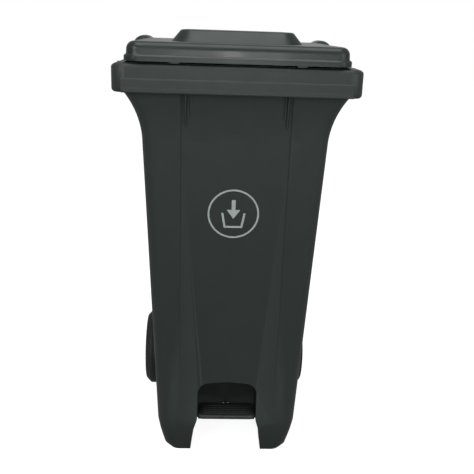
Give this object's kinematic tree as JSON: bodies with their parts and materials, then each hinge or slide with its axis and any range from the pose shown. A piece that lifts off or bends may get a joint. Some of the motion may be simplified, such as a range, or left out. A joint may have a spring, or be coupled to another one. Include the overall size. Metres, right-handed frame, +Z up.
{
  "type": "pedal wheelie bin",
  "caption": "Two-wheel pedal-operated refuse bin: tapered tub with wide collar and pedal notch, stepped hinged lid with raised panel, rear grip bar.",
  "frame": {"origin": "on the ground, at the middle of the whole object's footprint", "axes": "+Z up, -Y towards the pedal side (front), +X to the right as seen from the front"},
  "size_m": [0.48, 0.545, 0.946],
  "materials": {
    "body_plastic": "satin moulded polyethylene, dark grey",
    "lid_plastic": "satin moulded polyethylene, dark grey",
    "badge_print": "printed foil, light grey",
    "pedal_plastic": "satin moulded plastic, ribbed",
    "hub_plastic": "satin moulded plastic",
    "hinge_plastic": "smooth moulded plastic",
    "bush_plastic": "natural nylon",
    "tyre_rubber": "solid rubber",
    "axle_steel": "drawn bar, zinc plated",
    "plated_steel": "zinc plated"
  },
  "bodies": {
    "base": {"bin_body": "body_plastic", "front_badge": "badge_print", "axle": "axle_steel", "lever_pivot_rod": "axle_steel", "lever_pivot_clips": "plated_steel", "rod_guide_upper": "bush_plastic", "rod_guide_lower": "bush_plastic", "rod_guide_screws": "plated_steel", "hinge_pin_left": "hinge_plastic", "hinge_pin_right": "hinge_plastic", "hinge_pin_cap_left": "hinge_plastic", "hinge_pin_cap_right": "hinge_plastic", "axle_washer_left": "plated_steel", "axle_washer_right": "plated_steel", "starlock_ring_left": "plated_steel", "starlock_ring_right": "plated_steel"},
    "lid": {"lid": "lid_plastic", "lift_bracket": "plated_steel", "lift_bracket_screws": "plated_steel"},
    "pedal": {"pedal_tread": "pedal_plastic", "pedal_lever": "plated_steel", "pedal_screws": "plated_steel", "lever_bushes": "bush_plastic"},
    "push_rod": {"push_rod": "plated_steel", "rod_foot_pin": "plated_steel", "rod_foot_clip": "plated_steel", "lift_pin": "plated_steel", "lift_pin_clip": "plated_steel"},
    "wheel_left": {"wheel_tyre_left": "tyre_rubber", "wheel_hub_left": "hub_plastic", "wheel_bush_left": "bush_plastic", "hub_cap_left": "hub_plastic"},
    "wheel_right": {"wheel_tyre_right": "tyre_rubber", "wheel_hub_right": "hub_plastic", "wheel_bush_right": "bush_plastic", "hub_cap_right": "hub_plastic"}
  },
  "joints": [
    {"name": "lid_hinge", "type": "hinge", "parent": "base", "child": "lid", "pos_m": [0, 0.19, 0.9], "axis": [-1, 0, 0], "range_deg": [0, 70]},
    {"name": "push_rod_slide", "type": "slide", "parent": "base", "child": "push_rod", "axis": [0, 0, 1], "range_m": [0, 0.0513]},
    {"name": "pedal_hinge", "type": "hinge", "parent": "base", "child": "pedal", "pos_m": [0, -0.0195, 0.07], "axis": [1, 0, 0], "range_deg": [0, 17.1]},
    {"name": "wheel_left_spin", "type": "hinge", "parent": "base", "child": "wheel_left", "pos_m": [-0.19, 0.1725, 0.1], "axis": [1, 0, 0], "continuous": true},
    {"name": "wheel_right_spin", "type": "hinge", "parent": "base", "child": "wheel_right", "pos_m": [0.19, 0.1725, 0.1], "axis": [1, 0, 0], "continuous": true}
  ],
  "couplings": [
    {"joint": "push_rod_slide", "follows": "lid_hinge", "m_per_rad": 0.0419},
    {"joint": "pedal_hinge", "follows": "lid_hinge", "ratio": 0.2424}
  ]
}
